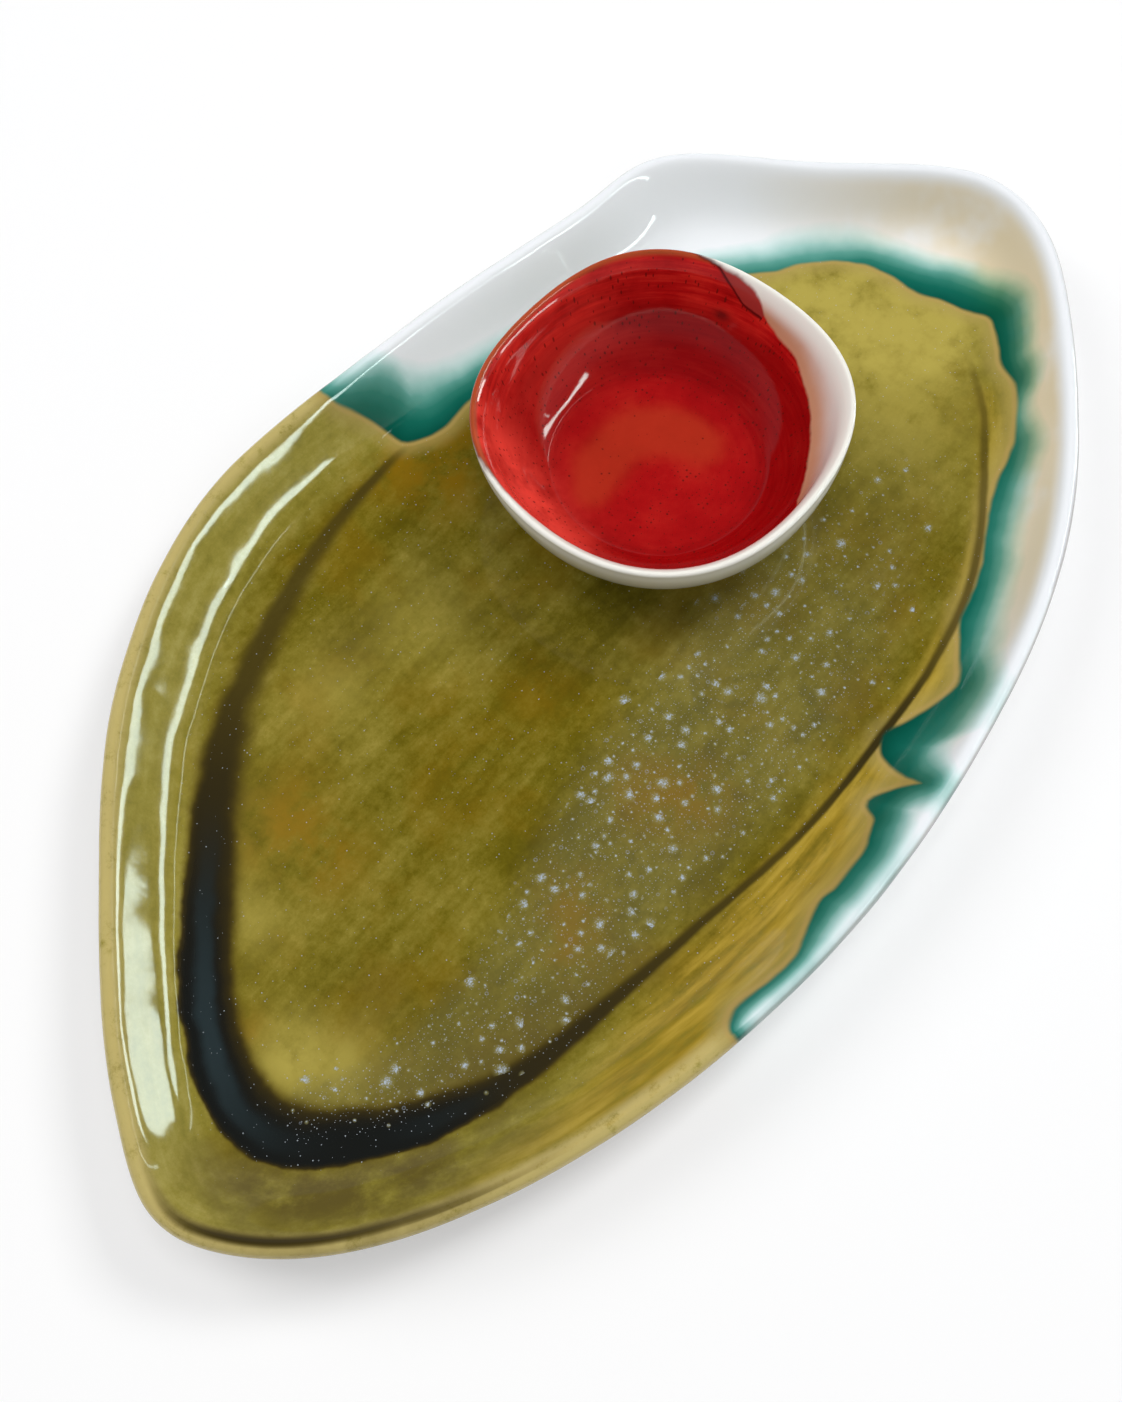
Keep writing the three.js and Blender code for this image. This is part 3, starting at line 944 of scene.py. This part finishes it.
bowl_glaze = bpy.data.materials.new("bowl_glaze")
bowl_glaze.use_nodes = True
tree = bowl_glaze.node_tree
glaze = tree.nodes["Principled BSDF"]
place = add_node(tree, "ShaderNodeTexCoord").outputs["Object"]
red_mark, full_mark, above_foot_mark, _ = mark(tree, "red")
throwing_place = mark(tree, "throwing")[3]
down_mark, radius_mark, thin_mark, _ = mark(tree, "wall")
blot_mark, painted_light_mark, _, _ = mark(tree, "blot")

wander = wandering(tree, place, size=0.008, reach=0.001)
red_here = calc(tree, "ADD", red_mark, wander)
full_here = calc(tree, "ADD", full_mark, wander)

# Brushed round the wall, cloudy on the floor, and speckled with iron
round_wall = stretch(tree, throwing_place, (0.10, 0.10, 1.0))
brushed = clouds(tree, round_wall, size=0.0018, detail=4.0)
on_floor = fade_out(tree, radius_mark, *FLOOR_EDGE)
brush_depth = calc(tree, "MULTIPLY_ADD", on_floor, -0.55, 0.70)
cloudy = clouds(tree, place, size=0.018, detail=5.0, roughness=0.6)
red_tone = times(tree, calc(tree, "SUBTRACT", brushed, 0.5), brush_depth)
red_tone = calc(tree, "ADD", red_tone, calc(tree, "MULTIPLY_ADD", cloudy, 0.6, 0.2))
red = tones(tree, red_tone, RED_TONES)
deep_share = calc(tree, "MULTIPLY_ADD", on_floor, -0.20, 0.80)
deep_share = times(tree, deep_share, fade(tree, down_mark, *DEEP_START))
red = lay_over(tree, deep_share, red, DEEP_RED)
# Painted light: the lit side and top of the wall are lightened to a brighter red
painted_light_share = times(tree, painted_light_mark, fade(tree, cloudy, 0.15, 0.60))
red = lay_over(tree, painted_light_share, red, PAINTED_LIGHT_RED)
thin_here = calc(tree, "MULTIPLY_ADD", calc(tree, "SUBTRACT", cloudy, 0.5), 0.9, thin_mark)
thin_share = times(tree, fade(tree, thin_here, 0.10, 0.95), 0.5)
red = lay_over(tree, thin_share, red, ORANGE_RED)
speck_chance = calc(tree, "MULTIPLY_ADD", fade_out(tree, thin_here, 0.1, 0.5), 0.40, 0.08)
speckled = specks(tree, place, cell=0.0019, smallest=0.00018, largest=0.00042, density=speck_chance)
red = lay_over(tree, times(tree, speckled, 0.7), red, SPECK_BROWN)
red = lay_over(tree, blot_mark, red, DARK_RED)

# Brown over the lip, and a dark drip along the edge of the second dip
lip_share = times(tree, fade_out(tree, down_mark, *LIP_BROWN_BAND), 0.7)
red = lay_over(tree, lip_share, red, BOWL_LIP_BROWN)
drip_gap = gap_from(tree, full_here, DRIP_LINE)
red = lay_over(tree, fade_out(tree, drip_gap, *DRIP_BAND), red, DARK_RED)
red = lay_over(tree, fade(tree, full_here, *FULL_EDGE), PINK, red)
end_gap = gap_from(tree, red_here, END_LINE)
near_lip = fade_out(tree, down_mark, *END_NEAR_LIP)
end_share = times(tree, fade_out(tree, end_gap, *END_BAND), near_lip)
red = lay_over(tree, times(tree, end_share, 0.7), red, SPECK_BROWN)

# The red tints the white beside it; this darker pink is partly the red's own bleed and partly
# painted shade and painted red bounce light
below_lip = fade(tree, down_mark, *BLUSH_AND_SHADE_BELOW_LIP)
blush_and_shade_share = times(tree, fade(tree, red_here, *BLUSH_AND_SHADE_REACH), below_lip)
cream = lay_over(tree, blush_and_shade_share, CREAM, BLUSH_AND_PAINTED_SHADE)
glazed = lay_over(tree, fade(tree, red_here, *RED_EDGE), cream, red)
colour = lay_over(tree, above_foot_mark, BARE_CLAY, glazed)
tree.links.new(colour, glaze.inputs["Base Color"])
bare = calc(tree, "SUBTRACT", 1.0, above_foot_mark)
tree.links.new(calc(tree, "MULTIPLY_ADD", bare, 0.65, 0.06), glaze.inputs["Roughness"])
skin_sockets = {"Height": brushed, "Strength": 0.05, "Distance": SKIN_DEPTH}
skin = add_node(tree, "ShaderNodeBump", skin_sockets)
tree.links.new(skin.outputs["Normal"], glaze.inputs["Normal"])
bowl.data.materials.append(bowl_glaze)

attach(bowl, "bowl")
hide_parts("dip_bowl")


# Floor: a plain white table top, wide enough to fill the view, that takes the object's soft shadow.

FLOOR_SIZE = 30.0
FLOOR_WHITE = (0.88, 0.88, 0.88, 1)
FLOOR_ROUGHNESS = 0.9
OWN_WHITE = 0.40

bpy.ops.object.select_all(action="DESELECT")
bpy.ops.mesh.primitive_plane_add(size=FLOOR_SIZE, location=(0, 0, 0))
floor = bpy.context.object
floor.name = "floor"
floor_white = bpy.data.materials.new("floor_white")
floor_white.use_nodes = True
tree = floor_white.node_tree
matt = tree.nodes["Principled BSDF"]
matt.inputs["Base Color"].default_value = FLOOR_WHITE
matt.inputs["Roughness"].default_value = FLOOR_ROUGHNESS
matt.inputs["Specular IOR Level"].default_value = 0.0
paper = add_node(tree, "ShaderNodeEmission", {"Color": (1, 1, 1, 1), "Strength": 1.0})
ray = add_node(tree, "ShaderNodeLightPath").outputs
mirrored = calc(tree, "MAXIMUM", ray["Is Glossy Ray"], ray["Is Transmission Ray"])
seen = calc(tree, "MAXIMUM", ray["Is Camera Ray"], mirrored)
share = times(tree, seen, OWN_WHITE)
mixed = add_node(tree, "ShaderNodeMixShader", {0: share, 1: matt.outputs[0], 2: paper.outputs[0]})
tree.links.new(mixed.outputs[0], tree.nodes["Material Output"].inputs["Surface"])
floor.data.materials.append(floor_white)


# Light: four large soft boxes light everything but stay out of the gloss. The bright top and side of
# a window, one of its bars and two low panes show only in the gloss of the rim and the bowl.
# The room itself is dim.

# Each soft box: name, turn and rise in degrees, distance, size, watts
SOFT_BOXES = [
    ("over_bowl_end", -15, 50, 3.0, 1.0, 41),
    ("overhead", 0, 89, 2.5, 1.0, 17.5),
    ("far_side", 108, 45, 3.0, 1.5, 36),
    ("near_side", -130, 50, 3.0, 1.5, 20),
]
# Each pane: name, the turn and rise of one end and of the other in degrees, height, watts
WINDOW_PANES = [
    ("window_top_near", (-22, 14), (-46, 39), 0.065, 1.5),
    ("window_top_far", (-46, 39), (-74, 36), 0.065, 1.2),
    ("window_bar", (-36.8, 18.8), (-36.8, 23.5), 0.02, 0.04),
    ("window_side_low", (-12, 18), (-24, 42), 0.015, 0.19),
    ("window_side_high", (-24, 42), (-43, 61), 0.015, 0.16),
    ("low_pane_near", (-17.5, 5), (-28, 6.5), 0.14, 1.0),
    ("low_pane_far", (-42, 5), (-70, 5), 0.14, 2.0),
]
WINDOW_DISTANCE = 1.0
LAMP_WHITE = (1, 1, 1)
DAYLIGHT = (0.82, 1.0, 0.96)
ROOM_LOW = (0.22, 0.22, 0.23, 1)
ROOM_HIGH = (0.05, 0.05, 0.055, 1)
ROOM_CHANGE = (0.35, 0.65)


def seen_at(turn, rise):
    """The direction from the platter at a turn from +X and a rise, both in degrees."""
    turn, rise = math.radians(turn), math.radians(rise)
    level = math.cos(rise)
    return Vector((math.cos(turn) * level, math.sin(turn) * level, math.sin(rise)))


def area_lamp(name, place, along, width, height, power, colour):
    """A rectangular lamp at a place, facing the platter, with its width along a direction."""
    lamp = bpy.data.lights.new(name, "AREA")
    lamp.shape = "RECTANGLE"
    lamp.size = width
    lamp.size_y = height
    lamp.energy = power
    lamp.color = colour
    holder = bpy.data.objects.new(name, lamp)
    backward = place.normalized()
    upward = backward.cross(along).normalized()
    axes = Matrix((upward.cross(backward), upward, backward)).transposed()
    holder.rotation_euler = axes.to_euler()
    holder.location = place
    bpy.context.scene.collection.objects.link(holder)
    return holder


def soft_box(name, turn, rise, distance, size, power):
    """A large square lamp that lights the object but doesn't show in its gloss."""
    level = seen_at(turn + 90, 0)
    place = seen_at(turn, rise) * distance
    holder = area_lamp(name, place, level, size, size, power, LAMP_WHITE)
    holder.visible_glossy = False


def window_pane(name, start, end, height, power):
    """A bright pane between two directions that shows in the gloss but lights nothing else."""
    start, end = seen_at(*start) * WINDOW_DISTANCE, seen_at(*end) * WINDOW_DISTANCE
    along = end - start
    middle = (start + end) / 2
    holder = area_lamp(name, middle, along, along.length, height, power, DAYLIGHT)
    holder.visible_diffuse = False


for box in SOFT_BOXES:
    soft_box(*box)
for pane in WINDOW_PANES:
    window_pane(*pane)

room = bpy.data.worlds.new("room")
room.use_nodes = True
tree = room.node_tree
bpy.context.scene.world = room
direction = add_node(tree, "ShaderNodeTexCoord").outputs["Generated"]
height = add_node(tree, "ShaderNodeSeparateXYZ", {"Vector": direction}).outputs["Z"]
sky = lay_over(tree, fade(tree, height, *ROOM_CHANGE), ROOM_LOW, ROOM_HIGH)
tree.links.new(sky, tree.nodes["Background"].inputs["Color"])
tree.nodes["Background"].inputs["Strength"].default_value = 1.0


# Camera: above the near side, looking down at the platter with its tip towards the lower left.

VIEW_MIDDLE = Vector((-0.02412, -0.00546, 0.0))
VIEW_TURN = math.radians(-50)
VIEW_RISE = math.radians(66)
VIEW_DISTANCE = 0.54428
VIEW_LENS = 43.65

camera = bpy.data.objects.new("camera", bpy.data.cameras.new("camera"))
bpy.context.scene.collection.objects.link(camera)
towards_camera = Vector((
    math.sin(VIEW_TURN) * math.cos(VIEW_RISE),
    -math.cos(VIEW_TURN) * math.cos(VIEW_RISE),
    math.sin(VIEW_RISE),
))
camera.location = VIEW_MIDDLE + VIEW_DISTANCE * towards_camera
camera.rotation_euler = towards_camera.to_track_quat("Z", "Y").to_euler()
camera.data.lens = VIEW_LENS
bpy.context.scene.camera = camera
bpy.context.scene.view_settings.view_transform = "Standard"
